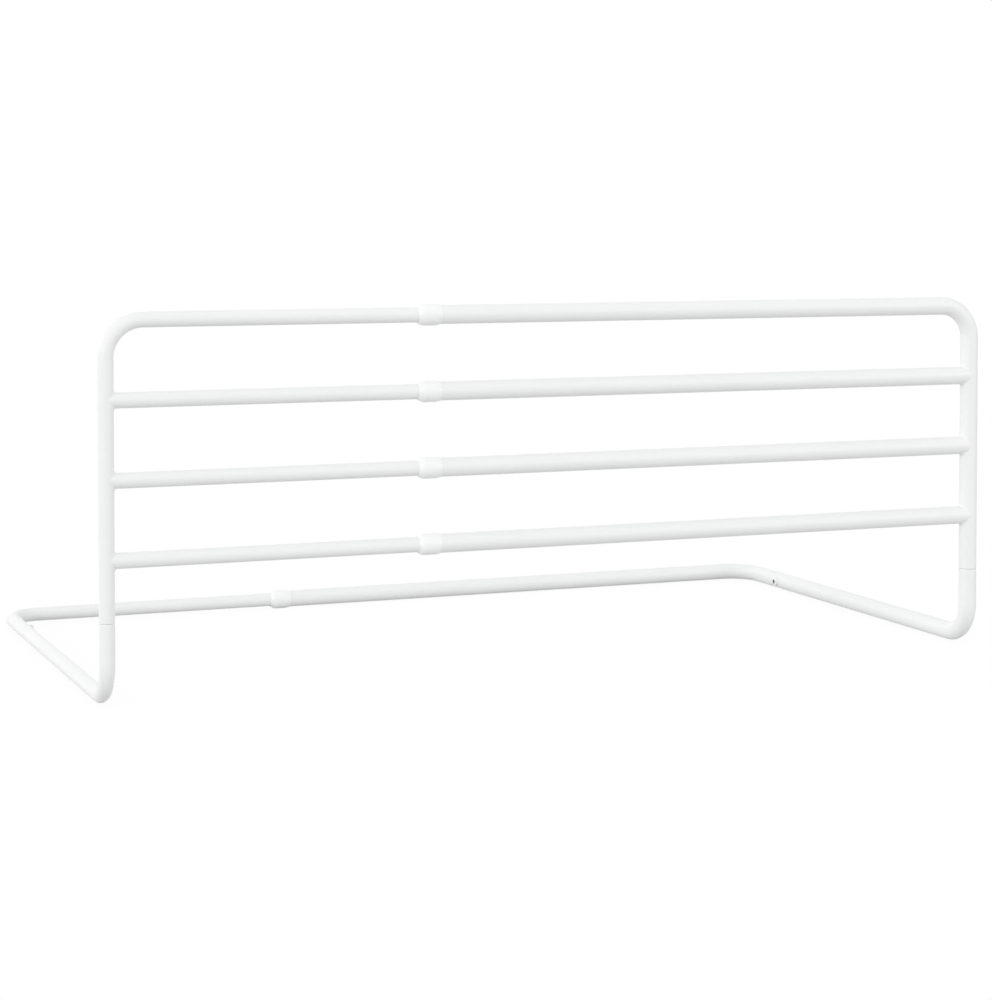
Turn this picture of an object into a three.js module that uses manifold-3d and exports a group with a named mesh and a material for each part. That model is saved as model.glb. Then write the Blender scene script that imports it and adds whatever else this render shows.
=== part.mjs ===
// Width-adjustable bed guard rail in white tubular steel.
// Two halves telescope: the left half's thinner tubes slide inside the right half's tubes. The panel
// stands along the side of a mattress. The base plugs into the uprights, runs back under the mattress
// and is closed by a telescoping rear bar.
// Millimetres, +Z up, X along the rail, +Y from the panel towards the rear bar. The origin is at the
// middle of the whole rail, level with its underside.

import * as THREE from 'three';
import { mergeVertices } from 'three/addons/utils/BufferGeometryUtils.js';
import Module from 'manifold-3d';

const wasm = await Module();
wasm.setup();

// Width of the rail, measured between the axes of the two uprights
const closedSpan = 742;
const pulledOut = 258;
const outerBarLength = 664;

// Height and depth, measured between tube axes
const lowestBarRise = 140;
const barPitch = 80;
const baseDepth = 545;
const frontSeamRise = 78;
const rearSeamInset = 89;

// Tubes
const outerRadius = 10;
const tubeWall = 1;
const slideClearance = 1;
const outerBendRadius = 37;
const innerBendRadius = 38;

// Swaged ends that plug one tube into the next
const neckLength = 45;
const swageRun = 5;
const rimEdge = 0.8;
const neckTipEdge = 1.5;

// Collars that close the outer bars on the inner ones
const collarWall = 1.1;
const collarMouthRun = 8;
const collarMouthTaper = 4.9;
const collarFlatRun = 15.5;
const collarTailTaper = 5.2;
const collarLip = 0.4;

// Guide plugs in the hidden ends of the inner bars
const plugHeadLength = 20;
const plugLandLength = 5;
const plugWaist = 0.5;
const plugShankLength = 16;
const plugWall = 1.5;
const plugEdge = 0.8;

// Button-head bolts and saddle nuts of the rear seams
const boltInset = 16;
const boltRadius = 3;
const boltTip = 1.5;
const boltTipEdge = 0.6;
const headRadius = 5.5;
const headHeight = 3.3;
const headRim = 0.9;
const socketAcross = 4;
const socketDepth = 2.2;
const nutFaceOffset = 1.5;
const nutLength = 12;

// Room between pieces
const fitGap = 0.3;
const stopClearance = 5;
const openStopClearance = 1.3;
const cutOverrun = 2;
const boreStep = 0.05;

// Smoothness of the round forms
const roundSides = 24;
const bendSteps = 7;
const domeSteps = 4;

// Sizes that follow from the ones above
const crossbarNames = ['lower', 'middle', 'upper'];
const uprightSpan = closedSpan + pulledOut;
const innerRadius = outerRadius - tubeWall - slideClearance;
const collarBore = outerRadius + fitGap;
const collarRadius = collarBore + collarWall;
const collarMouthBore = innerRadius + fitGap;
const collarLength = collarMouthTaper + collarFlatRun + collarTailTaper;
const innerBarLength = closedSpan - outerBendRadius - plugHeadLength - fitGap - stopClearance;

const leftX = (innerRadius - uprightSpan - outerRadius) / 2;
const rightX = leftX + uprightSpan;
const frontY = -baseDepth / 2;
const rearY = baseDepth / 2;
const baseZ = collarRadius;
const topZ = baseZ + lowestBarRise + crossbarNames.length * barPitch;
const frontSeamZ = baseZ + frontSeamRise;
const rearSeamY = rearY - rearSeamInset;
const boltY = rearSeamY - boltInset;

const outerBarEndX = rightX - outerBarLength;
const innerBarEndX = leftX + innerBarLength;
const collarX = outerBarEndX - fitGap - collarMouthRun;
const plugX = innerBarEndX + fitGap;

const rightHalf = {
  name: 'right',
  inward: -1,
  radius: outerRadius,
  bendRadius: outerBendRadius,
  uprightX: rightX,
  barEndX: outerBarEndX,
};
const leftHalf = {
  name: 'left',
  inward: 1,
  radius: innerRadius,
  bendRadius: innerBendRadius,
  uprightX: leftX,
  barEndX: innerBarEndX,
};

const finishes = {
  paint: { color: 0xf1f2f3, roughness: 0.42, metalness: 0 },
  plastic: { color: 0xf7f8f9, roughness: 0.3, metalness: 0 },
  guide: { color: 0xd9dbdc, roughness: 0.5, metalness: 0 },
  bolt: { color: 0xe6e8e9, roughness: 0.35, metalness: 0.1 },
  steel: { color: 0x9a9da0, roughness: 0.4, metalness: 0.9 },
};

// Round forms are polygons whose flats touch the true circle and face along the axes
const halfFacet = Math.PI / roundSides;
const cornerFactor = 1 / Math.cos(halfFacet);

// Two straights joined by one round bend. The steps fall on the straights' ends and round the bend.
class BentRoute extends THREE.Curve {
  constructor(start, corner, end, bendRadius) {
    super();
    this.start = start;
    this.corner = corner;
    this.end = end;
    this.bendRadius = bendRadius;
    this.steps = bendSteps + 2;
    this.setOut = corner.clone().sub(start).normalize();
    this.comeIn = end.clone().sub(corner).normalize();
  }

  getUtoTmapping(u) {
    return u;
  }

  turnAt(t) {
    const share = (t * this.steps - 1) / bendSteps;
    return (Math.min(Math.max(share, 0), 1) * Math.PI) / 2;
  }

  getPoint(t, target = new THREE.Vector3()) {
    const turn = this.turnAt(t);
    target.copy(this.corner);
    target.addScaledVector(this.setOut, this.bendRadius * (Math.sin(turn) - 1));
    target.addScaledVector(this.comeIn, this.bendRadius * (1 - Math.cos(turn)));
    const step = t * this.steps;
    if (step < 1) {
      target.lerp(this.start, 1 - step);
    } else if (step > this.steps - 1) {
      target.lerp(this.end, step - this.steps + 1);
    }
    return target;
  }

  getTangent(t, target = new THREE.Vector3()) {
    const turn = this.turnAt(t);
    target.copy(this.setOut).multiplyScalar(Math.cos(turn));
    return target.addScaledVector(this.comeIn, Math.sin(turn));
  }

  // The same route with its ends moved outwards, or inwards where a length is negative
  stretched(atStart, atEnd) {
    const start = this.start.clone().addScaledVector(this.setOut, -atStart);
    const end = this.end.clone().addScaledVector(this.comeIn, atEnd);
    return new BentRoute(start, this.corner, end, this.bendRadius);
  }
}

// A closed geometry as a solid that can be joined and cut
function toSolid(geometry) {
  geometry.deleteAttribute('normal');
  geometry.deleteAttribute('uv');
  const merged = mergeVertices(geometry);
  const corners = merged.index.array;
  const kept = [];
  for (let i = 0; i < corners.length; i += 3) {
    const [a, b, c] = corners.slice(i, i + 3);
    if (a !== b && b !== c && c !== a) {
      kept.push(a, b, c);
    }
  }
  const mesh = new wasm.Mesh({
    numProp: 3,
    vertProperties: new Float32Array(merged.attributes.position.array),
    triVerts: new Uint32Array(kept),
  });
  return new wasm.Manifold(mesh);
}

function toGeometry(solid) {
  const { vertProperties, triVerts } = solid.getMesh();
  const geometry = new THREE.BufferGeometry();
  geometry.setAttribute('position', new THREE.BufferAttribute(vertProperties, 3));
  geometry.setIndex(new THREE.BufferAttribute(triVerts, 1));
  geometry.computeVertexNormals();
  return geometry;
}

function roundSection(radius) {
  const corners = [];
  for (let i = 0; i < roundSides; i += 1) {
    const turn = (2 * i + 1) * halfFacet;
    const corner = new THREE.Vector2(Math.cos(turn), Math.sin(turn));
    corners.push(corner.multiplyScalar(radius * cornerFactor));
  }
  return new THREE.Shape(corners);
}

function rodAlong(route, radius) {
  const settings = { extrudePath: route, steps: route.steps ?? 1, bevelEnabled: false };
  return toSolid(new THREE.ExtrudeGeometry(roundSection(radius), settings));
}

// A profile of [radius, place along the axis] pairs turned about +Z. It starts and ends on the axis,
// or closes on itself, and runs upwards on the outside.
function turned(profile) {
  const points = profile.map(([radius, along]) => new THREE.Vector2(radius * cornerFactor, along));
  const geometry = new THREE.LatheGeometry(points, roundSides, halfFacet);
  return geometry.rotateX(Math.PI / 2);
}

// A turned form moved to a place, with its axis pointing a given way
function aimed(geometry, place, direction) {
  const turn = new THREE.Quaternion().setFromUnitVectors(new THREE.Vector3(0, 0, 1), direction);
  geometry.applyQuaternion(turn);
  geometry.translate(place.x, place.y, place.z);
  return toSolid(geometry);
}

function pin(radius, from, to) {
  return turned([[0, from], [radius, from], [radius, to], [0, to]]);
}

function hollowTube(route, radius) {
  const bore = rodAlong(route.stretched(cutOverrun, cutOverrun), radius - tubeWall);
  return rodAlong(route, radius).subtract(bore);
}

// The ring that takes the sharp edge off a tube's rim
function rimCutter(radius) {
  const outside = radius + cutOverrun;
  const inside = radius - rimEdge - cutOverrun;
  return turned([
    [outside, -rimEdge - cutOverrun],
    [outside, cutOverrun],
    [inside, cutOverrun],
    [outside, -rimEdge - cutOverrun],
  ]);
}

// The hollow of a swaged end: the bore draws in over the swage and runs out through the neck
function neckBoreCutter(bore, neckBore) {
  return turned([
    [0, -swageRun - cutOverrun],
    [bore - boreStep, -swageRun - cutOverrun],
    [bore - boreStep, -swageRun],
    [neckBore, 0],
    [neckBore, neckLength + cutOverrun],
    [0, neckLength + cutOverrun],
  ]);
}

// A bent tube whose first end is drawn down to a neck that plugs into the tube before it
function neckedTube(route, radius) {
  const bore = radius - tubeWall;
  const neck = bore - fitGap;
  const outwards = route.setOut.clone().negate();
  const neckForm = turned([
    [0, -swageRun],
    [neck, -swageRun],
    [neck, neckLength - neckTipEdge],
    [neck - tubeWall / 2, neckLength],
    [0, neckLength],
  ]);
  return rodAlong(route, radius)
    .subtract(aimed(rimCutter(radius), route.start, outwards))
    .add(aimed(neckForm, route.start, outwards))
    .subtract(rodAlong(route.stretched(-swageRun, cutOverrun), bore))
    .subtract(aimed(neckBoreCutter(bore, neck - tubeWall), route.start, outwards));
}

// The bolt's hole through the inward wall of a leg and of the neck inside it
function boltHole(half) {
  const inward = new THREE.Vector3(half.inward, 0, 0);
  const place = new THREE.Vector3(half.uprightX, boltY, baseZ);
  return aimed(pin(boltRadius + fitGap, 0, half.radius + cutOverrun), place, inward);
}

// Upright and top bar, bent from one tube
function frameTube(half) {
  const route = new BentRoute(
    new THREE.Vector3(half.uprightX, frontY, frontSeamZ + fitGap),
    new THREE.Vector3(half.uprightX, frontY, topZ),
    new THREE.Vector3(half.barEndX, frontY, topZ),
    half.bendRadius,
  );
  return toGeometry(hollowTube(route, half.radius));
}

// Foot of the upright and the leg under the mattress, bent from one tube
function legTube(half) {
  const route = new BentRoute(
    new THREE.Vector3(half.uprightX, frontY, frontSeamZ),
    new THREE.Vector3(half.uprightX, frontY, baseZ),
    new THREE.Vector3(half.uprightX, rearSeamY - fitGap, baseZ),
    half.bendRadius,
  );
  return toGeometry(neckedTube(route, half.radius).subtract(boltHole(half)));
}

// Rear corner and rear bar, bent from one tube
function rearTube(half) {
  const route = new BentRoute(
    new THREE.Vector3(half.uprightX, rearSeamY, baseZ),
    new THREE.Vector3(half.uprightX, rearY, baseZ),
    new THREE.Vector3(half.barEndX, rearY, baseZ),
    half.bendRadius,
  );
  return toGeometry(neckedTube(route, half.radius).subtract(boltHole(half)));
}

// Straight bar whose end is coped to sit on the upright, drawn from the upright's axis
function crossbar(half) {
  const length = half.barEndX - half.uprightX;
  const start = new THREE.Vector3(0, 0, 0);
  const end = new THREE.Vector3(length, 0, 0);
  const past = new THREE.Vector3(half.inward * cutOverrun, 0, 0);
  const bar = rodAlong(new THREE.LineCurve3(start, end), half.radius);
  const boreLine = new THREE.LineCurve3(start.clone().sub(past), end.clone().add(past));
  const bore = rodAlong(boreLine, half.radius - tubeWall);
  const reach = half.radius + cutOverrun;
  const upright = toSolid(pin(half.radius + fitGap, -reach, reach));
  return toGeometry(bar.subtract(bore).subtract(upright));
}

// Moulded sleeve over the outer bar's open end, with a mouth that closes on the inner bar
function collar() {
  const tailStart = collarMouthTaper + collarFlatRun;
  return turned([
    [collarMouthBore, 0],
    [collarMouthBore + collarLip, 0],
    [collarRadius, collarMouthTaper],
    [collarRadius, tailStart],
    [collarBore + collarLip, collarLength],
    [collarBore, collarLength],
    [collarBore, collarMouthRun],
    [collarMouthBore, collarMouthRun],
    [collarMouthBore, 0],
  ]);
}

// Moulded plug that centres the inner bar in the outer one: a shank in the bar and two sliding lands
function guidePlug() {
  const shank = innerRadius - tubeWall - fitGap;
  const land = outerRadius - tubeWall - fitGap;
  const waist = land - plugWaist;
  const core = shank - plugWall;
  return turned([
    [0, -plugShankLength],
    [shank, -plugShankLength],
    [shank, 0],
    [land, 0],
    [land, plugLandLength],
    [waist, plugLandLength + plugWaist],
    [waist, plugHeadLength - plugLandLength - plugWaist],
    [land, plugHeadLength - plugLandLength],
    [land, plugHeadLength - plugEdge],
    [land - plugEdge, plugHeadLength],
    [core, plugHeadLength],
    [core, plugWall - plugShankLength],
    [0, plugWall - plugShankLength],
  ]);
}

function hexSection(acrossFlats) {
  const corners = [];
  for (let i = 0; i < 6; i += 1) {
    const turn = (i * Math.PI) / 3;
    const corner = new THREE.Vector2(Math.cos(turn), Math.sin(turn));
    corners.push(corner.multiplyScalar(acrossFlats / Math.sqrt(3)));
  }
  return new THREE.Shape(corners);
}

// Button-head bolt along +Z with the underside of its head at zero
function bolt(shankLength) {
  const profile = [
    [0, -shankLength],
    [boltRadius - boltTipEdge, -shankLength],
    [boltRadius, boltTipEdge - shankLength],
    [boltRadius, 0],
    [headRadius, 0],
  ];
  for (let i = 0; i <= domeSteps; i += 1) {
    const turn = (i / domeSteps) * (Math.PI / 2);
    profile.push([
      headRadius * Math.cos(turn),
      headRim + (headHeight - headRim) * Math.sin(turn),
    ]);
  }
  profile[profile.length - 1][0] = 0;
  const depth = socketDepth + cutOverrun;
  const socket = new THREE.ExtrudeGeometry(hexSection(socketAcross), { depth, bevelEnabled: false });
  socket.translate(0, 0, headHeight - socketDepth);
  return toGeometry(toSolid(turned(profile)).subtract(toSolid(socket)));
}

// Half-round nut that lies in the neck's bore along Y and takes the bolt along +Z
function saddleNut(half) {
  const radius = half.radius - 2 * tubeWall - 2 * fitGap;
  const lowEnd = new THREE.Vector3(0, -nutLength / 2, 0);
  const highEnd = new THREE.Vector3(0, nutLength / 2, 0);
  const body = rodAlong(new THREE.LineCurve3(lowEnd, highEnd), radius);
  const keep = new THREE.BoxGeometry(radius * 3, nutLength * 2, radius * 2);
  keep.translate(0, 0, nutFaceOffset + radius);
  const thread = toSolid(pin(boltRadius + fitGap, -cutOverrun, radius + cutOverrun));
  return toGeometry(body.intersect(toSolid(keep)).subtract(thread));
}

function piece(name, geometry, finish, x = 0, y = 0, z = 0) {
  const mesh = new THREE.Mesh(geometry, new THREE.MeshStandardMaterial(finishes[finish]));
  mesh.name = name;
  mesh.position.set(x, y, z);
  return mesh;
}

// Tubes and rear fastening of one half
function halfFrame(half) {
  const group = new THREE.Group();
  group.add(piece(`${half.name}_frame_tube`, frameTube(half), 'paint'));
  group.add(piece(`${half.name}_leg_tube`, legTube(half), 'paint'));
  group.add(piece(`${half.name}_rear_tube`, rearTube(half), 'paint'));
  const barGeometry = crossbar(half);
  crossbarNames.forEach((level, i) => {
    const height = baseZ + lowestBarRise + i * barPitch;
    const name = `${half.name}_${level}_crossbar`;
    group.add(piece(name, barGeometry, 'paint', half.uprightX, frontY, height));
  });
  const seat = half.radius + fitGap;
  const boltX = half.uprightX + half.inward * seat;
  const boltLength = seat - nutFaceOffset + boltTip;
  const boltMesh = piece(`${half.name}_rear_bolt`, bolt(boltLength), 'bolt', boltX, boltY, baseZ);
  const nutMesh = piece(`${half.name}_saddle_nut`, saddleNut(half), 'steel', half.uprightX, boltY, baseZ);
  boltMesh.rotation.y = (half.inward * Math.PI) / 2;
  nutMesh.rotation.y = (half.inward * Math.PI) / 2;
  group.add(boltMesh, nutMesh);
  return group;
}

// One turned piece on each telescoping bar, all at the same place along the rail
function onEveryBar(suffix, geometry, finish, x) {
  const group = new THREE.Group();
  const shape = toGeometry(toSolid(geometry));
  crossbarNames.forEach((level, i) => {
    const height = baseZ + lowestBarRise + i * barPitch;
    group.add(piece(`${level}_${suffix}`, shape, finish, x, frontY, height));
  });
  group.add(piece(`top_${suffix}`, shape, finish, x, frontY, topZ));
  group.add(piece(`rear_${suffix}`, shape, finish, x, rearY, baseZ));
  group.children.forEach((mesh) => {
    mesh.rotation.y = Math.PI / 2;
  });
  return group;
}

// The outer half stays put. The inner half slides along X between its two stops.
const outerHalf = halfFrame(rightHalf);
outerHalf.add(onEveryBar('collar', collar(), 'plastic', collarX));
const innerHalf = halfFrame(leftHalf);
innerHalf.add(onEveryBar('guide_plug', guidePlug(), 'guide', plugX));
innerHalf.userData.slide = {
  towardsClosed: pulledOut,
  towardsOpen: plugX - (collarX + collarMouthRun) - openStopClearance,
};

const rail = new THREE.Group();
rail.add(outerHalf, innerHalf);

export default rail;
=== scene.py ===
# %% [markdown]
# # A bed guard rail that telescopes
# The rail is a low panel of white steel tubes that stands beside a mattress. Its base runs back under
# the mattress. The left half is made of thinner tubes that slide inside the right half's tubes, so
# the rail can be made wider or narrower.
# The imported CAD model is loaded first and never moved. It says where every piece sits. Its round tubes
# are polygons of 24 sides, so this lesson makes every piece but two hidden nuts again, with a smooth
# skin, rounded rims and welds. Every piece also gets a finish.

# %% Load the frame
import math
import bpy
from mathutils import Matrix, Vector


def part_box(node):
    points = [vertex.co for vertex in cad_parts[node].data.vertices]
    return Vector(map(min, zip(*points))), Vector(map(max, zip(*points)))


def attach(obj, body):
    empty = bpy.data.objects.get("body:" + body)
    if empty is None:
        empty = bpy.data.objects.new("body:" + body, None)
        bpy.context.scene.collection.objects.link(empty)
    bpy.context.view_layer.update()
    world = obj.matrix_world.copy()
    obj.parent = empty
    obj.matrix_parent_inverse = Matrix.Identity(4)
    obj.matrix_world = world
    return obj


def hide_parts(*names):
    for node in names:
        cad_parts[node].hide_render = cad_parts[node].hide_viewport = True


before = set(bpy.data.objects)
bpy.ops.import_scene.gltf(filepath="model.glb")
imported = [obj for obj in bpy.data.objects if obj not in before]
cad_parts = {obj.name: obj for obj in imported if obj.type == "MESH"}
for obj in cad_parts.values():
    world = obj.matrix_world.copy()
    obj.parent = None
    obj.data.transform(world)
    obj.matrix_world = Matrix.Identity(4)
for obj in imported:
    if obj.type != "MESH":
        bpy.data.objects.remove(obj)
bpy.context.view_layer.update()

from types import SimpleNamespace

import bmesh
import bpy
from mathutils import Vector

MM = 0.001

# %% [markdown]
# ## The camera
# The camera comes before the pieces, because every later choice is judged through it. The picture it
# has to match is 992 by 1000 pixels, so Blender measures the lens against the long side, the height.
# The uprights look parallel in the picture, which a camera gets by looking level and shifting its
# lens. A smaller shift with two degrees of downward tilt gives nearly the same picture, and it keeps
# the object inside the frame when the camera is moved to another side.

# %% Camera
picture_height = 1000
focal_pixels = 2392.77
shift_pixels = 200
camera_place = Vector((-1020.1, -2612.43, 497.8)) * MM
camera_turn = math.radians(21.7933)
camera_tilt = math.radians(2.0945)

lens = bpy.data.cameras.new("camera")
lens.sensor_width = 36
lens.lens = focal_pixels / picture_height * lens.sensor_width
lens.shift_y = -shift_pixels / picture_height
camera = bpy.data.objects.new("camera", lens)
camera.location = camera_place
camera.rotation_euler = (math.pi / 2 - camera_tilt, 0, -camera_turn)
bpy.context.scene.collection.objects.link(camera)
bpy.context.scene.camera = camera
print("lens", round(lens.lens, 1), "mm, shift", round(lens.shift_y, 3))

# %% [markdown]
# ## Writing node trees as sums
# Materials and Geometry Nodes are both trees of nodes joined by links. Clicking them together is
# quick for three nodes and slow for thirty, so two small classes do it here. A Bench lays nodes in a
# tree. A Flow is what comes out of a node, and adding or multiplying flows lays the Math nodes, so a
# formula in the script reads like a formula. Vectors have their own Vector Math nodes.

# %% Flows and benches
def chosen(sockets, key):
    """The socket in use with this name, or at this place among those in use."""
    used = [socket for socket in sockets if socket.enabled]
    if isinstance(key, int):
        return used[key]
    return next(socket for socket in used if socket.name == key)


class Flow:
    """What comes out of one socket."""

    def __init__(self, bench, socket):
        self.bench = bench
        self.socket = socket

    def __add__(self, other):
        return self.bench.maths("ADD", self, other)

    def __sub__(self, other):
        return self.bench.maths("SUBTRACT", self, other)

    def __mul__(self, other):
        return self.bench.maths("MULTIPLY", self, other)

    def __truediv__(self, other):
        return self.bench.maths("DIVIDE", self, other)

    def __rsub__(self, other):
        return self.bench.maths("SUBTRACT", other, self)

    def __lt__(self, other):
        return self.bench.maths("LESS_THAN", self, other)

    def __gt__(self, other):
        return self.bench.maths("GREATER_THAN", self, other)

    __radd__ = __add__

    def also(self, name):
        """Another output of the same node."""
        return Flow(self.bench, chosen(self.socket.node.outputs, name))


class Bench:
    """Lays nodes in one tree."""

    def __init__(self, tree):
        self.tree = tree

    def node(self, kind, settings=None, sockets=None, out=0):
        made = self.tree.nodes.new(kind)
        for name, value in (settings or {}).items():
            setattr(made, name, value)
        for name, value in (sockets or {}).items():
            socket = chosen(made.inputs, name)
            if isinstance(value, Flow):
                self.tree.links.new(value.socket, socket)
            else:
                socket.default_value = value
        return Flow(self, chosen(made.outputs, out)) if made.outputs else None

    def maths(self, operation, *values):
        return self.node("ShaderNodeMath", {"operation": operation}, dict(enumerate(values)))

    def vector(self, operation, *values):
        return self.node("ShaderNodeVectorMath", {"operation": operation}, dict(enumerate(values)))


print("benches ready")

# %% [markdown]
# ## White powder coat
# The tubes are sprayed with dry white powder and baked. The powder melts into a skin that is almost
# smooth, with a faint waviness called orange peel, one or two millimetres from crest to crest. Four
# noise textures in Object coordinates make it. The two fine ones bend the light through a Bump node,
# and the two broad ones let the white and the gloss drift a little, as in a sprayed coat.

# %% White powder coat
def new_finish(name):
    """A material's bench, the object's own coordinates, and its Principled shader's sockets."""
    material = bpy.data.materials.new(name)
    material.use_nodes = True
    bench = Bench(material.node_tree)
    place = bench.node("ShaderNodeTexCoord", out="Object")
    shader = material.node_tree.nodes["Principled BSDF"]
    return material, bench, place, shader.inputs


def feed(bench, sockets, values):
    """Sets the shader's sockets to numbers, or links flows to them."""
    for name, value in values.items():
        if isinstance(value, Flow):
            bench.tree.links.new(value.socket, sockets[name])
        else:
            sockets[name].default_value = value


def noise(bench, place, per_metre, detail=2.0):
    """Smooth noise from 0 to 1, with this many crests to the metre."""
    sockets = {"Vector": place, "Scale": per_metre, "Detail": detail}
    return bench.node("ShaderNodeTexNoise", {}, sockets, out="Fac")


def between(bench, share, low, high):
    """A colour that runs from low to high."""
    ends = {"Factor": share, "A": (*low, 1), "B": (*high, 1)}
    return bench.node("ShaderNodeMix", {"data_type": "RGBA"}, ends, out="Result")


def bumped(bench, height, depth):
    """A normal that follows a height, which is multiplied by a depth in metres."""
    sockets = {"Height": height, "Distance": depth, "Strength": 1.0}
    return bench.node("ShaderNodeBump", {}, sockets, out="Normal")


drift_per_metre = 14
cloud_per_metre = 160
peel_per_metre = 620
grit_per_metre = 2600
drift_share = 0.6
grit_height = 0.18
glossiest_paint = 0.32
cloud_dulls = 0.12
drift_dulls = 0.06
paint_ior = 1.5


def powder_coat(name, low, high, peel_depth):
    material, bench, place, sockets = new_finish(name)
    drift = noise(bench, place, drift_per_metre)
    cloud = noise(bench, place, cloud_per_metre)
    peel = noise(bench, place, peel_per_metre, detail=1.0)
    grit = noise(bench, place, grit_per_metre, detail=0.0)
    shade = drift * drift_share + cloud * (1 - drift_share)
    feed(bench, sockets, {
        "Base Color": between(bench, shade, low, high),
        "Roughness": glossiest_paint + cloud * cloud_dulls + drift * drift_dulls,
        "Normal": bumped(bench, peel + grit * grit_height, peel_depth),
        "IOR": paint_ior,
    })
    return material


white_paint = powder_coat(
    "white_powder_coat", (0.84, 0.848, 0.847), (0.885, 0.89, 0.887), peel_depth=0.05 * MM)
bolt_paint = powder_coat(
    "bolt_lacquer", (0.84, 0.845, 0.84), (0.885, 0.89, 0.885), peel_depth=0.02 * MM)
print("painted finishes:", white_paint.name, bolt_paint.name)

# %% [markdown]
# ## Plastic, nylon and zinc
# The collars are moulded in a whiter and glossier plastic than the painted tubes. The guide plugs in
# the hidden ends are plain nylon, cloudy and dull. The saddle nuts are zinc-plated steel, whose colour
# wanders between blue and straw. The bolts' sockets are bare oiled steel in part, and in part painted
# shade: their steel is made darker than it is, to stand for the shade deep in the hexagon recess.

# %% Plastic, nylon and zinc
flow_per_metre = 45
grain_per_metre = 1500
flow_height = 2
flow_dulls = 0.1
plastic_ior = 1.47
wander_per_metre = 120
crystals_per_metre = 900
wander_share = 0.7
crystals_dull = 0.15
crystal_depth = 0.02 * MM


def moulded(name, low, high, glossiest, grain_depth):
    material, bench, place, sockets = new_finish(name)
    flow_marks = noise(bench, place, flow_per_metre, detail=3.0)
    grain = noise(bench, place, grain_per_metre, detail=1.0)
    feed(bench, sockets, {
        "Base Color": between(bench, flow_marks, low, high),
        "Roughness": glossiest + flow_marks * flow_dulls,
        "Normal": bumped(bench, grain + flow_marks * flow_height, grain_depth),
        "IOR": plastic_ior,
    })
    return material


def bare_metal(name, low, high, glossiest):
    material, bench, place, sockets = new_finish(name)
    wander = noise(bench, place, wander_per_metre, detail=3.0)
    crystals = noise(bench, place, crystals_per_metre)
    shade = wander * wander_share + crystals * (1 - wander_share)
    feed(bench, sockets, {
        "Base Color": between(bench, shade, low, high),
        "Metallic": 1.0,
        "Roughness": glossiest + crystals * crystals_dull,
        "Normal": bumped(bench, crystals, crystal_depth),
    })
    return material


collar_plastic = moulded(
    "glossy_plastic", (0.90, 0.91, 0.905), (0.93, 0.936, 0.932), glossiest=0.26, grain_depth=0.012 * MM)
guide_plastic = moulded(
    "guide_nylon", (0.68, 0.69, 0.68), (0.76, 0.77, 0.76), glossiest=0.42, grain_depth=0.03 * MM)
zinc_steel = bare_metal("zinc_plate", (0.60, 0.63, 0.68), (0.74, 0.72, 0.64), glossiest=0.3)
# Painted shade: the socket steel is darker than bare steel, so the hexagon recess looks shaded by its
# colour.
socket_steel_with_painted_shade = bare_metal("oiled_steel_with_painted_shade", (0.30, 0.30, 0.305), (0.43, 0.43, 0.43), glossiest=0.4)
other_finishes = (collar_plastic, guide_plastic, zinc_steel, socket_steel_with_painted_shade)
print("moulded and bare finishes:", *(finish.name for finish in other_finishes))

# %% [markdown]
# ## Read the frame
# Nothing is placed by eye. The box of each CAD node gives the axes and ends of the tubes, so a smooth
# tube lands exactly where its CAD solid is. Only sizes that a box can't show are written out, in
# millimetres, as on a drawing: walls, bend radii, necks and rounded edges.

# %% Measure the two halves
tube_wall = 1.0 * MM
fit_gap = 0.3 * MM
neck_length = 45 * MM
bend_radius = {"right": 37 * MM, "left": 38 * MM}
levels = ("lower", "middle", "upper")


def measured(side, body, inward):
    """Axes and ends of one half's tubes."""
    low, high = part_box(f"{side}_frame_tube")
    rear_low, rear_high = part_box(f"{side}_rear_tube")
    _, leg_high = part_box(f"{side}_leg_tube")
    radius = (high.y - low.y) / 2
    return SimpleNamespace(
        side=side,
        body=body,
        inward=inward,
        radius=radius,
        bend=bend_radius[side],
        upright_x=high.x - radius if inward < 0 else low.x + radius,
        bar_end_x=low.x if inward < 0 else high.x,
        front_y=(low.y + high.y) / 2,
        top_z=high.z - radius,
        seam_z=low.z,
        base_z=(rear_low.z + rear_high.z) / 2,
        rear_y=rear_high.y - radius,
        leg_tip_z=leg_high.z,
        leg_end_y=leg_high.y,
        neck_tip_y=rear_low.y,
    )


halves = [measured("right", "outer_half", -1), measured("left", "inner_half", 1)]
for half in halves:
    print(half.side, "upright at", round(half.upright_x / MM, 1), "radius", round(half.radius / MM, 2))

# %% [markdown]
# ## Draw a wall, turn it, bend it
# A tube could be a curve with a bevel, but that gives no wall, no rim and no neck. Here it is made as
# in the workshop. First the wall's outline is drawn as a closed line: how far along the tube, and how
# far from its middle. Then the line is turned into a straight hollow form, as on a lathe. Last, the
# form is bent round its route. The drawing is plain Python. The turning and the bending are one
# Geometry Nodes tree that every tube, bar, collar, plug and bolt shares.

# %% Outlines
arc_steps = 5
hold_run = 0.4 * MM
roomy = 4
least_step = 0.1 * MM
bend_steps = 40
bend_margin = 1 * MM


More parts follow.
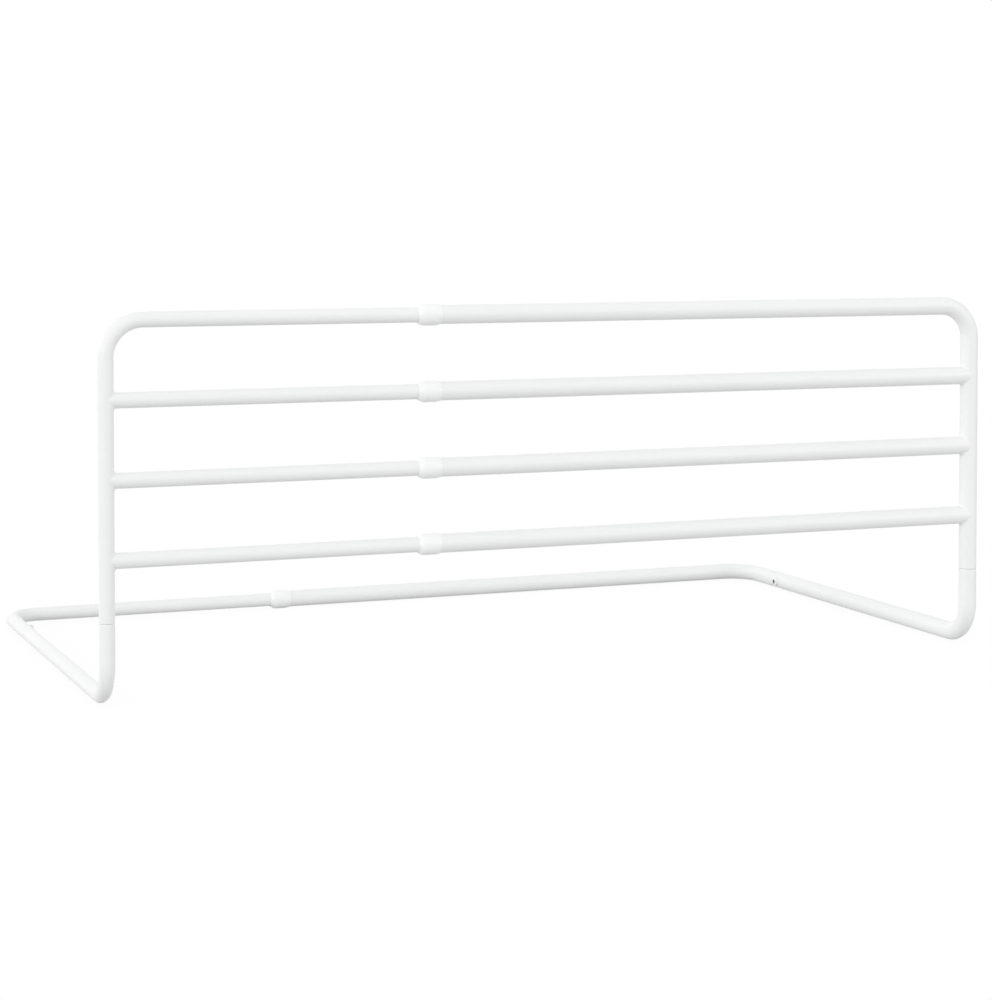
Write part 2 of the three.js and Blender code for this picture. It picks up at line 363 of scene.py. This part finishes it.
def rounded(corners):
    """Points of an outline whose (along, radius, rounding) corners are rounded off.

    Where the line beside a round is roomy, a point on it holds the smooth shading in the round.
    """
    points = []
    for i, (along, radius, rounding) in enumerate(corners):
        corner = Vector((along, radius))
        if rounding == 0:
            points.append(corner)
            continue
        arms = [Vector(corners[j % len(corners)][:2]) - corner for j in (i - 1, i + 1)]
        back, on = (arm.normalized() for arm in arms)
        half_angle = back.angle(on) / 2
        setback = rounding / math.tan(half_angle)
        centre = corner + (back + on).normalized() * rounding / math.sin(half_angle)
        first, last = (corner + arm * setback - centre for arm in (back, on))
        sweep = math.pi - 2 * half_angle
        hold = setback + hold_run
        if arms[0].length > roomy * hold:
            points.append(corner + back * hold)
        for step in range(arc_steps + 1):
            share = step / arc_steps
            turned = first * math.sin((1 - share) * sweep) + last * math.sin(share * sweep)
            points.append(centre + turned / math.sin(sweep))
        if arms[1].length > roomy * hold:
            points.append(corner + on * hold)
    return points


def divided(points, stations):
    """The closed outline with a point wherever it passes one of the stations along the tube."""
    result = []
    for here, there in zip(points, points[1:] + points[:1]):
        result.append(here)
        low, high = sorted((here.x, there.x))
        crossed = sorted(s for s in stations if low + least_step < s < high - least_step)
        if here.x > there.x:
            crossed.reverse()
        result += [here.lerp(there, (s - here.x) / (there.x - here.x)) for s in crossed]
    return result


def bend_stations(straight, radius):
    """Places along a tube where its rings sit in a right-angle bend that follows a straight length."""
    arc = radius * math.pi / 2
    inside = [straight + arc * step / bend_steps for step in range(bend_steps + 1)]
    return [straight - bend_margin, *inside, straight + arc + bend_margin]


sample_wall = rounded([(1, 1, 0.1), (0, 1, 0.1), (0, 0.8, 0.1), (1, 0.8, 0.1)])
print("the outline of a wall with four rounded corners has", len(sample_wall), "points")

# %% [markdown]
# ## The turning and bending tree
# A Grid has rows and columns. Each row takes one point of the outline and each column one turn about
# the axis, so the flat grid closes into a hollow form. The route is a line through three points whose
# corner is rounded with Fillet Curve. Sample Curve gives a point and a direction for any length along
# it, and Set Position carries every row there. Some inputs serve special ends: a cope pushes the first
# rows on to a crossing upright, ripples mark the weld bead there, and a thread pitch cuts a screw.

# %% Turning and bending tree
def new_tree(name, inputs):
    """An empty Geometry Nodes tree, its bench, and a flow for each named input."""
    tree = bpy.data.node_groups.new(name, "GeometryNodeTree")
    tree.is_modifier = True
    for label, kind in inputs.items():
        tree.interface.new_socket(label, in_out="INPUT", socket_type=f"NodeSocket{kind}")
    tree.interface.new_socket("Geometry", in_out="OUTPUT", socket_type="NodeSocketGeometry")
    bench = Bench(tree)
    start = bench.node("NodeGroupInput")
    return tree, bench, {label: start.also(label) for label in inputs}


crease_from = math.radians(35)


def hand_back(bench, mesh, *finishes):
    """Ends a tree: smooth skin with crisp creases, real geometry, and each finish on its faces."""
    edge_angle = bench.node("GeometryNodeInputMeshEdgeAngle", out="Unsigned Angle")
    smooth_edges = {"Geometry": mesh, "Shade Smooth": edge_angle < crease_from}
    mesh = bench.node("GeometryNodeSetShadeSmooth", {"domain": "EDGE"}, smooth_edges)
    mesh = bench.node("GeometryNodeSetShadeSmooth", {}, {"Geometry": mesh, "Shade Smooth": True})
    mesh = bench.node("GeometryNodeRealizeInstances", {}, {"Geometry": mesh})
    for finish, faces in finishes:
        dressed = {"Geometry": mesh, "Selection": faces, "Material": finish}
        mesh = bench.node("GeometryNodeSetMaterial", {}, dressed)
    bench.node("NodeGroupOutput", {}, {"Geometry": mesh})


def route_of(bench, inputs):
    """Start, corner and end as one line, with the corner rounded off."""
    line = bench.node("GeometryNodeMeshLine", {}, {"Count": 3})
    index = bench.node("GeometryNodeInputIndex")
    vectors = {"data_type": "VECTOR"}
    place = inputs["Start"]
    for passed, point in enumerate((inputs["Corner"], inputs["End"])):
        onward = {"Factor": index > passed + 0.5, "A": place, "B": point}
        place = bench.node("ShaderNodeMix", vectors, onward)
    line = bench.node("GeometryNodeSetPosition", {}, {"Geometry": line, "Position": place})
    curve = bench.node("GeometryNodeMeshToCurve", {}, {"Mesh": line})
    bend = {"Curve": curve, "Count": inputs["Bend Steps"], "Radius": inputs["Bend Radius"]}
    return bench.node("GeometryNodeFilletCurve", {"mode": "POLY"}, bend)


ripple_height = 0.06
bead_least = 0.03
dish_least = 0.15
same_place = 0.001 * MM


def turn_and_bend_tree():
    tree, bench, inputs = new_tree("turn_and_bend", {
        "Outline": "Geometry", "Closed": "Int", "Sides": "Int",
        "Start": "Vector", "Corner": "Vector", "End": "Vector", "Side": "Vector",
        "Bend Radius": "Float", "Bend Steps": "Int",
        "Cope Radius": "Float", "Cope Fade": "Float", "Weld Ripples": "Float",
        "Thread Pitch": "Float", "Finish": "Material",
    })
    outline, sides = inputs["Outline"], inputs["Sides"]
    counted = {"Geometry": outline}
    points = bench.node("GeometryNodeAttributeDomainSize", {}, counted, out="Point Count")
    size = {"Vertices X": points + inputs["Closed"], "Vertices Y": sides + 1}
    grid = bench.node("GeometryNodeMeshGrid", {}, size, out="Mesh")

    # Every grid point finds its row and column. The row after the last closes the outline.
    index = bench.node("GeometryNodeInputIndex")
    row = bench.maths("FLOOR", (index + 0.5) / (sides + 1))
    column = index - row * (sides + 1)
    outline_row = row * (row < points - 0.5)
    turn = column * (2 * math.pi) / sides
    cosine, sine = bench.maths("COSINE", turn), bench.maths("SINE", turn)

    vectors = {"data_type": "FLOAT_VECTOR"}

    def on_outline(value):
        sockets = {"Geometry": outline, "Value": value, "Index": outline_row}
        vector = bench.node("GeometryNodeSampleIndex", vectors, sockets)
        return bench.node("ShaderNodeSeparateXYZ", {}, {"Vector": vector})

    point = on_outline(bench.node("GeometryNodeInputPosition"))
    extra = on_outline(bench.node("GeometryNodeInputNamedAttribute", vectors, {"Name": "extra"}))

    # Of a point's extra numbers, the third is a thread's depth. The first two push the point along
    # and outwards, in full where the form faces up or down, and least at its sides.
    facing = cosine * cosine

    def swelling(least):
        return facing * (1 - least) + least

    ripple = 1 + bench.maths("COSINE", turn * inputs["Weld Ripples"]) * ripple_height
    phase = point / inputs["Thread Pitch"] - turn / (2 * math.pi)
    flank = bench.maths("ABSOLUTE", bench.maths("FRACT", phase) - 0.5) * 2
    radius = point.also("Y") + extra.also("Y") * swelling(bead_least) * ripple
    radius = radius - extra.also("Z") * flank
    along = point + extra * swelling(dish_least)

    # The cope carries the first rows on to a round upright of this radius.
    cope = inputs["Cope Radius"]
    across = radius * sine
    saddle = bench.maths("SQRT", bench.maths("MAXIMUM", cope * cope - across * across, 0))
    fade = bench.maths("MAXIMUM", 1 - along / inputs["Cope Fade"], 0)
    along = along + saddle * fade

    on_route = {"Curves": route_of(bench, inputs), "Length": along}
    sampled = bench.node("GeometryNodeSampleCurve", {"mode": "LENGTH"}, on_route, out="Position")
    outward = bench.vector("CROSS_PRODUCT", inputs["Side"], sampled.also("Tangent"))
    out_part = bench.vector("SCALE", outward, radius * cosine)
    side_part = bench.vector("SCALE", inputs["Side"], across)
    place = bench.vector("ADD", bench.vector("ADD", sampled, out_part), side_part)
    grid = bench.node("GeometryNodeSetPosition", {}, {"Geometry": grid, "Position": place})
    grid = bench.node("GeometryNodeMergeByDistance", {}, {"Geometry": grid, "Distance": same_place})
    hand_back(bench, grid, (inputs["Finish"], True))
    return tree


turn_and_bend = turn_and_bend_tree()
print(turn_and_bend.name, "has", len(turn_and_bend.nodes), "nodes")

# %% [markdown]
# ## The drilling tree
# A hole is cut last, as in the workshop, by taking a cylinder away from the finished form with Mesh
# Boolean. With six sides the same cylinder is the hexagon key's socket in a bolt head. The bit's faces
# are marked with an attribute before the cut, so the walls of the hole can have a finish of their own.

# %% Drilling tree
def drill_tree():
    tree, bench, inputs = new_tree("drill", {
        "Piece": "Geometry", "Place": "Vector", "Bit Sides": "Int", "Bit Radius": "Float",
        "Bit Length": "Float", "Finish": "Material", "Cut Finish": "Material",
    })
    size = {
        "Vertices": inputs["Bit Sides"], "Radius": inputs["Bit Radius"], "Depth": inputs["Bit Length"],
    }
    bit = bench.node("GeometryNodeMeshCylinder", {}, size, out="Mesh")
    along_x = {"Geometry": bit, "Translation": inputs["Place"], "Rotation": (0, math.pi / 2, 0)}
    bit = bench.node("GeometryNodeTransform", {}, along_x)
    on_faces = {"data_type": "BOOLEAN", "domain": "FACE"}
    mark = {"Geometry": bit, "Name": "cut", "Value": True}
    bit = bench.node("GeometryNodeStoreNamedAttribute", on_faces, mark)
    cut = {"Mesh 1": inputs["Piece"], "Mesh 2": bit}
    mesh = bench.node("GeometryNodeMeshBoolean", {"operation": "DIFFERENCE", "solver": "EXACT"}, cut)
    marked = bench.node("GeometryNodeInputNamedAttribute", {"data_type": "BOOLEAN"}, {"Name": "cut"})
    hand_back(bench, mesh, (inputs["Finish"], True), (inputs["Cut Finish"], marked))
    return tree


drill = drill_tree()
print(drill.name, "has", len(drill.nodes), "nodes")

# %% [markdown]
# ## From an outline to a finished piece
# A piece starts as an object that holds only its outline's points. The trees are put on it as
# modifiers, their inputs are set, and the evaluated result becomes the object's own plain mesh. Then
# the piece takes the place of its CAD node and rides on that node's body. A signed volume above zero
# says that the faces point outwards, and no open edges says that the skin is closed.

# %% Make and hand over
def drawn(name, points, extras=None):
    """An object that holds an outline's points, and the extra numbers that some of them carry."""
    mesh = bpy.data.meshes.new(name)
    mesh.from_pydata([(point.x, point.y, 0) for point in points], [], [])
    layer = mesh.attributes.new("extra", "FLOAT_VECTOR", "POINT")
    for i, extra in (extras or {}).items():
        layer.data[i].vector = extra
    piece = bpy.data.objects.new(name, mesh)
    bpy.context.scene.collection.objects.link(piece)
    return piece


def add_tree(piece, tree, values):
    modifier = piece.modifiers.new(tree.name, "NODES")
    modifier.node_group = tree
    for item in tree.interface.items_tree:
        if item.in_out == "INPUT" and item.name in values:
            modifier[item.identifier] = values[item.name]


round_sides = 72
past_end = 10 * MM


def axis_of(node):
    """Low end, high end and radius of a round piece that lies along X, from its node's box."""
    low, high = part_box(node)
    middle_y, middle_z = (low.y + high.y) / 2, (low.z + high.z) / 2
    ends = (Vector((x, middle_y, middle_z)) for x in (low.x, high.x))
    return *ends, (high.y - low.y) / 2


def straight_route(start, end):
    """Route inputs of a straight piece. The corner lies past its end, where nothing is bent."""
    onward = (end - start).normalized() * past_end
    return {
        "Start": start, "Corner": end + onward, "End": end + onward * 2,
        "Side": Vector((0, 1, 0)), "Bend Radius": 0.0, "Bend Steps": 1,
    }


def turned_piece(name, points, route, finish, extras=None, **more):
    values = {"Closed": 1, "Sides": round_sides, "Finish": finish, **route, **more}
    piece = drawn(name, points, extras)
    add_tree(piece, turn_and_bend, values)
    return piece


def drilled(piece, place, sides, radius, length, finish, cut_finish):
    """Drills along X. The bit's middle is at the place, so it reaches half its length to each side."""
    add_tree(piece, drill, {
        "Place": place, "Bit Sides": sides, "Bit Radius": radius, "Bit Length": length,
        "Finish": finish, "Cut Finish": cut_finish,
    })


def hand_over(piece, body, node):
    """Turns the trees' result into the piece's mesh, and puts the piece in its CAD node's place."""
    evaluated = piece.evaluated_get(bpy.context.evaluated_depsgraph_get())
    mesh = bpy.data.meshes.new_from_object(evaluated)
    piece.modifiers.clear()
    piece.data = mesh
    skin = bmesh.new()
    skin.from_mesh(mesh)
    volume = skin.calc_volume(signed=True)
    open_edges = sum(not edge.is_manifold for edge in skin.edges)
    skin.free()
    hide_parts(node)
    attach(piece, body)
    print(f"{piece.name}: {len(mesh.polygons)} faces, {volume * 1e6:.2f} cm3, {open_edges} open edges")


# %% [markdown]
# ## The bent tubes
# Each half has three bent tubes. One makes the upright and the top bar. One makes the foot and the leg
# that runs under the mattress. One makes the rear corner and the rear bar. The lower two have a swaged
# neck, squeezed until it fits inside the tube before it, so the rail comes apart for its box. Only a
# fine seam shows where they meet, because the lower tube has a soft shoulder there. The bolt's hole is
# drilled through one wall of the leg and of the neck inside it, with a ring of points on each side of
# it, so that the cut doesn't spoil the smooth shading further off.

# %% Bent tubes
rim = 0.35 * MM
bore_rim = 0.25 * MM
swage_run = 5 * MM
swage_round = 2 * MM
shoulder_run = 1.4 * MM
shoulder_fall = 0.4 * MM
shoulder_round = 4 * MM
shoulder_edge = 0.5 * MM
neck_root = 0.2 * MM
neck_tip_edge = 0.45 * MM
bolt_radius = 3 * MM
hole_radius = bolt_radius + fit_gap
hole_sides = 32
hole_margin = 6 * MM
bit_reach = 1.2


def bent_route(start, corner, end, side, radius):
    return {
        "Start": start, "Corner": corner, "End": end, "Side": side,
        "Bend Radius": radius, "Bend Steps": bend_steps,
    }


def bent_length(route):
    """Length of a route along the tube's middle, and the length before its bend."""
    first = (route["Corner"] - route["Start"]).length
    second = (route["End"] - route["Corner"]).length
    radius = route["Bend Radius"]
    return first + second - 2 * radius + radius * math.pi / 2, first - radius


def plain_tube(name, half, route):
    length, straight = bent_length(route)
    bore = half.radius - tube_wall
    outline = rounded([
        (length, half.radius, rim),
        (0, half.radius, rim),
        (0, bore, bore_rim),
        (length, bore, bore_rim),
    ])
    outline = divided(outline, bend_stations(straight, half.bend))
    return turned_piece(name, outline, route, white_paint)


def necked_tube(name, half, route, hole, hole_along):
    length, straight = bent_length(route)
    bore = half.radius - tube_wall
    neck = bore - fit_gap
    outline = rounded([
        (length, half.radius, rim),
        (neck_length + shoulder_run, half.radius, shoulder_round),
        (neck_length, half.radius - shoulder_fall, shoulder_edge),
        (neck_length, neck, neck_root),
        (0, neck, neck_tip_edge),
        (0, neck - tube_wall, bore_rim),
        (neck_length, neck - tube_wall, swage_round),
        (neck_length + swage_run, bore, swage_round),
        (length, bore, bore_rim),
    ])
    near_hole = [hole_along - hole_margin, hole_along + hole_margin]
    outline = divided(outline, bend_stations(straight, half.bend) + near_hole)
    piece = turned_piece(name, outline, route, white_paint)
    drilled(piece, hole, hole_sides, hole_radius, half.radius * bit_reach, white_paint, white_paint)
    return piece


for half in halves:
    x = half.upright_x
    foot = Vector((x, half.front_y, half.base_z))
    top = Vector((x, half.front_y, half.top_z))
    rear = Vector((x, half.rear_y, half.base_z))
    bolt_low, bolt_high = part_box(f"{half.side}_rear_bolt")
    bolt_y = (bolt_low.y + bolt_high.y) / 2
    hole = Vector((x + half.inward * half.radius * bit_reach / 2, bolt_y, half.base_z))

    start = Vector((x, half.front_y, half.seam_z))
    end = Vector((half.bar_end_x, half.front_y, half.top_z))
    route = bent_route(start, top, end, Vector((0, 1, 0)), half.bend)
    piece = plain_tube(f"painted_{half.side}_frame_tube", half, route)
    hand_over(piece, half.body, f"{half.side}_frame_tube")

    start = Vector((x, half.front_y, half.leg_tip_z))
    end = Vector((x, half.leg_end_y, half.base_z))
    route = bent_route(start, foot, end, Vector((1, 0, 0)), half.bend)
    hole_along = bent_length(route)[0] - (half.leg_end_y - bolt_y)
    piece = necked_tube(f"painted_{half.side}_leg_tube", half, route, hole, hole_along)
    hand_over(piece, half.body, f"{half.side}_leg_tube")

    start = Vector((x, half.neck_tip_y, half.base_z))
    end = Vector((half.bar_end_x, half.rear_y, half.base_z))
    route = bent_route(start, rear, end, Vector((0, 0, 1)), half.bend)
    piece = necked_tube(f"painted_{half.side}_rear_tube", half, route, hole, bolt_y - half.neck_tip_y)
    hand_over(piece, half.body, f"{half.side}_rear_tube")

# %% [markdown]
# ## The crossbars and their welds
# Three straight bars join each upright. The end of each is coped, which means cut to a saddle that sits
# on the round upright, and then welded all round. The tree's cope input moves the first rows of the bar
# on to the upright. The bead is part of the outline: a few points that stand off the corner by the
# amounts in their extra numbers. It is fullest above and below the bar, where the two tubes meet at a
# right angle, and thins out at the sides, where they touch edge to edge.

# %% Crossbars
weld_leg = 2.2 * MM
weld_crown = 0.35 * MM
weld_steps = 8
weld_ripples = 24
welded_sides = 144
cope_bite = 0.15 * MM
cope_fade = 20 * MM


def crossbar(name, half, height):
    start = Vector((half.upright_x, half.front_y, height))
    end = Vector((half.bar_end_x, half.front_y, height))
    length = (end - start).length
    bore = half.radius - tube_wall
    outline = rounded([
        (length, bore, bore_rim),
        (length, half.radius, rim),
        (0, half.radius, 0),
        (0, bore, 0),
    ])
    fold, bore_edge = outline[-2], outline[-1]
    wall = outline[:-2] + [Vector((cope_fade, half.radius)), Vector((weld_leg * 2, half.radius))]
    bead = [fold] * (weld_steps + 1)
    extras = {}
    for step in range(weld_steps + 1):
        share = step / weld_steps
        crown = weld_crown * math.sin(math.pi * share)
        extras[len(wall) + step] = (weld_leg * (1 - share) + crown, weld_leg * share + crown, 0)
    outline = wall + bead + [fold, fold.lerp(bore_edge, 0.5), bore_edge, Vector((cope_fade, bore))]
    return turned_piece(name, outline, straight_route(start, end), white_paint, extras, **{
        "Sides": welded_sides, "Cope Radius": half.radius - cope_bite, "Cope Fade": cope_fade,
        "Weld Ripples": float(weld_ripples),
    })


for half in halves:
    for level in levels:
        node = f"{half.side}_{level}_crossbar"
        low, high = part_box(node)
        piece = crossbar(f"painted_{node}", half, (low.z + high.z) / 2)
        hand_over(piece, half.body, node)

# %% [markdown]
# ## The collars
# A moulded sleeve is pushed over the open end of every outer bar. Its mouth draws in on the thinner bar
# that slides through it, so no cut steel edge shows and the bars don't rattle. It is turned from one
# outline, with the soft edges that a mould gives. Both of its ends are thin and lie close on the bars,
# because in the picture no dark ring parts a collar from its bars.

# %% Collars
collar_grip = 0.1 * MM
collar_mouth_bore = halves[1].radius + collar_grip
collar_tube_bore = halves[0].radius + collar_grip
collar_mouth_run = 8 * MM
collar_mouth_taper = 4.9 * MM
collar_tail_taper = 5.2 * MM
collar_lip = 0.2 * MM
lip_edge = 0.08 * MM
barrel_round = 10 * MM
inner_edge = 0.2 * MM
telescoping = (*levels, "top", "rear")

for place in telescoping:
    start, end, radius = axis_of(f"{place}_collar")
    length = (end - start).length
    outline = rounded([
        (length, collar_tube_bore + collar_lip, lip_edge),
        (length - collar_tail_taper, radius, barrel_round),
        (collar_mouth_taper, radius, barrel_round),
        (0, collar_mouth_bore + collar_lip, lip_edge),
        (0, collar_mouth_bore, lip_edge),
        (collar_mouth_run, collar_mouth_bore, inner_edge),
        (collar_mouth_run, collar_tube_bore, inner_edge),
        (length, collar_tube_bore, lip_edge),
    ])
    piece = turned_piece(f"moulded_{place}_collar", outline, straight_route(start, end), collar_plastic)
    hand_over(piece, "outer_half", f"{place}_collar")

# %% [markdown]
# ## The guide plugs
# Inside each outer bar the hidden end of the inner bar carries a nylon plug. Its shank sits in the
# inner bar and its two lands fill the outer one, so the halves stay in line however far they are
# pulled apart. It is turned too, but its outline starts and ends on the axis, so it isn't closed.

# %% Guide plugs
plug_shank_run = 16 * MM
plug_land_run = 5 * MM
plug_waist = 0.5 * MM
plug_wall = 1.5 * MM
soft_edge = 0.5 * MM
shank_radius = halves[1].radius - tube_wall - fit_gap
core_radius = shank_radius - plug_wall

for place in telescoping:
    start, end, land = axis_of(f"{place}_guide_plug")
    length = (end - start).length
    first_land_end = plug_shank_run + plug_land_run
    last_land_start = length - plug_land_run
    waist = land - plug_waist
    outline = rounded([
        (plug_wall, 0, 0),
        (plug_wall, core_radius, soft_edge),
        (length, core_radius, inner_edge),
        (length, land, soft_edge),
        (last_land_start, land, inner_edge),
        (last_land_start - plug_waist, waist, inner_edge),
        (first_land_end + plug_waist, waist, inner_edge),
        (first_land_end, land, inner_edge),
        (plug_shank_run, land, inner_edge),
        (plug_shank_run, shank_radius, inner_edge),
        (0, shank_radius, soft_edge),
        (0, 0, 0),
    ])
    route = straight_route(start, end)
    piece = turned_piece(f"moulded_{place}_guide_plug", outline, route, guide_plastic, Closed=0)
    hand_over(piece, "inner_half", f"{place}_guide_plug")

# %% [markdown]
# ## Bolts and saddle nuts
# A button-head bolt at each rear seam goes through the leg and the neck inside it, into a half-round
# nut that lies in the neck. The head is a low dome with a hexagon socket, and its underside is dished
# so that it beds on the round tube. The same tree does both: the extra numbers of the head's points
# push its rim on above and below, and those of the shank's points are the depth of the thread. The
# nuts are hidden, so they keep their CAD shapes and only get a finish.

# %% Bolts and nuts
head_radius = 5.5 * MM
head_height = 3.3 * MM
head_rim = 0.9 * MM
head_edge = 0.15 * MM
head_dish = 1.85 * MM
crown_steps = 10
bolt_sides = 48
socket_sides = 6
socket_across = 5 * MM
socket_radius = socket_across / math.sqrt(3)
socket_depth = 2.2 * MM
thread_pitch = 1 * MM
thread_depth = 0.5 * MM
thread_end = 0.6 * MM
rows_per_turn = 8


def bolt_outline(length):
    """From the tip on the axis, up the thread and round the head, back to the axis."""
    crown_base = head_height - head_rim
    thread_start = length - thread_end
    thread_run = thread_start - thread_end - head_height
    rows = round(thread_run / thread_pitch * rows_per_turn)
    tip = [Vector((length, 0)), Vector((length, bolt_radius - thread_depth))]
    places = [thread_start - thread_run * row / rows for row in range(rows + 1)]
    thread = [Vector((place, bolt_radius)) for place in places]
    head = rounded([
        (head_height, bolt_radius, 0),
        (head_height, head_radius, head_edge),
        (crown_base, head_radius, 0),
    ])
    rises = [math.pi / 2 * step / crown_steps for step in range(1, crown_steps)]
    crown = [
        Vector((crown_base * (1 - math.sin(rise)), head_radius * math.cos(rise))) for rise in rises
    ]
    outline = tip + thread + head + crown + [Vector((0, 0))]

    extras = {len(tip) + row: (0, 0, thread_depth) for row in range(rows + 1)}
    for i in range(len(tip) + len(thread), len(outline)):
        pressed = max(0, (outline[i].x - crown_base) / head_rim) * (outline[i].y / head_radius) ** 2
        extras[i] = (head_dish * pressed, 0, 0)
    return outline, extras


for half in halves:
    node = f"{half.side}_rear_bolt"
    low_end, high_end, _ = axis_of(node)
    head, tip = (low_end, high_end) if half.inward < 0 else (high_end, low_end)
    outline, extras = bolt_outline((tip - head).length)
    piece = turned_piece(f"turned_{node}", outline, straight_route(head, tip), bolt_paint, extras, **{
        "Closed": 0, "Sides": bolt_sides, "Thread Pitch": thread_pitch,
    })
    # The socket's walls get the darkened steel, which paints the shade of the recess into their colour.
    drilled(piece, head, socket_sides, socket_radius, socket_depth * 2, bolt_paint, socket_steel_with_painted_shade)
    hand_over(piece, half.body, node)
    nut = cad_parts[f"{half.side}_saddle_nut"]
    nut.data.materials.clear()
    nut.data.materials.append(zinc_steel)

# %% [markdown]
# ## Floor, backdrop and light
# The picture is a white product shot with hardly a shadow. Such a shot is lit by a tent of white cloth,
# which here is an even sky, and by broad lamps that stand low round the object. Two lamps in front
# keep every tube flat and white on the side that the camera sees, and leave its underside darker. The
# two behind are weak. They give the legs, which point away from the camera, their bright upper edge.
# The lamps are suns with wide discs, because a sun lights a large floor evenly. What the open floor
# gives back is worked out from these, so that a glow of its own can bring it to exactly the white of
# the backdrop. Only direct sight and reflections meet that glow, and the rail's soft shadow stays.

# %% Stage and light
sky_strength = 0.8
paper_shade = 0.62
glow_share = 0.88
floor_reach = 60
lamp_disc = math.radians(35)
lamp_distance = 3


def lamp_direction(azimuth, elevation):
    """Towards a lamp. Azimuth 0 stands in front of the rail, and a positive one to its left."""
    turn, rise = math.radians(azimuth), math.radians(elevation)
    return Vector((-math.sin(turn) * math.cos(rise), -math.cos(turn) * math.cos(rise), math.sin(rise)))


lamps = [
    ("front_left_lamp", lamp_direction(60, 12), 0.325),
    ("front_right_lamp", lamp_direction(-45, 12), 0.2),
    ("rear_left_lamp", lamp_direction(128, 15), 0.12),
    ("rear_lamp", lamp_direction(190, 12), 0.038),
]


def direct_sight(bench):
    """1 for what the camera sees, straight or by way of a shiny or clear surface."""
    rays = bench.node("ShaderNodeLightPath", out="Is Camera Ray")
    seen = bench.maths("MAXIMUM", rays, rays.also("Is Glossy Ray"))
    return bench.maths("MAXIMUM", seen, rays.also("Is Transmission Ray"))


def stage_floor():
    mesh = bpy.data.meshes.new("studio_floor")
    corners = [(-1, -1), (1, -1), (1, 1), (-1, 1)]
    mesh.from_pydata([(x * floor_reach, y * floor_reach, 0) for x, y in corners], [], [(0, 1, 2, 3)])
    floor = bpy.data.objects.new("studio_floor", mesh)
    bpy.context.scene.collection.objects.link(floor)
    material = bpy.data.materials.new("studio_floor")
    material.use_nodes = True
    mesh.materials.append(material)
    nodes = material.node_tree.nodes
    nodes.remove(nodes["Principled BSDF"])
    bench = Bench(material.node_tree)
    from_lamps = sum(direction.z * level for _, direction, level in lamps)
    open_paper = paper_shade * (sky_strength + from_lamps)
    glow_strength = (1 - (1 - glow_share) * open_paper) / glow_share
    paper = bench.node("ShaderNodeBsdfDiffuse", {}, {"Color": (paper_shade,) * 3 + (1,)})
    glow = bench.node("ShaderNodeEmission", {}, {"Strength": glow_strength})
    share = direct_sight(bench) * glow_share
    surface = bench.node("ShaderNodeMixShader", {}, {0: share, 1: paper, 2: glow})
    bench.tree.links.new(surface.socket, nodes["Material Output"].inputs["Surface"])
    print("open paper", round(open_paper, 3), "glow", round(glow_strength, 3))


def white_sky():
    world = bpy.data.worlds.new("white_tent")
    world.use_nodes = True
    bpy.context.scene.world = world
    bench = Bench(world.node_tree)
    background = world.node_tree.nodes["Background"].inputs
    background["Color"].default_value = (1, 1, 1, 1)
    strength = direct_sight(bench) * (1 - sky_strength) + sky_strength
    bench.tree.links.new(strength.socket, background["Strength"])


def broad_lamp(name, direction, level):
    """A sun that a surface facing it gives back at this level times its colour."""
    lamp = bpy.data.lights.new(name, "SUN")
    lamp.energy = level * math.pi
    lamp.angle = lamp_disc
    stand = bpy.data.objects.new(name, lamp)
    stand.rotation_euler = (-direction).to_track_quat("-Z", "Y").to_euler()
    stand.location = direction * lamp_distance
    bpy.context.scene.collection.objects.link(stand)


stage_floor()
white_sky()
for lamp in lamps:
    broad_lamp(*lamp)
bpy.context.scene.view_settings.view_transform = "Standard"
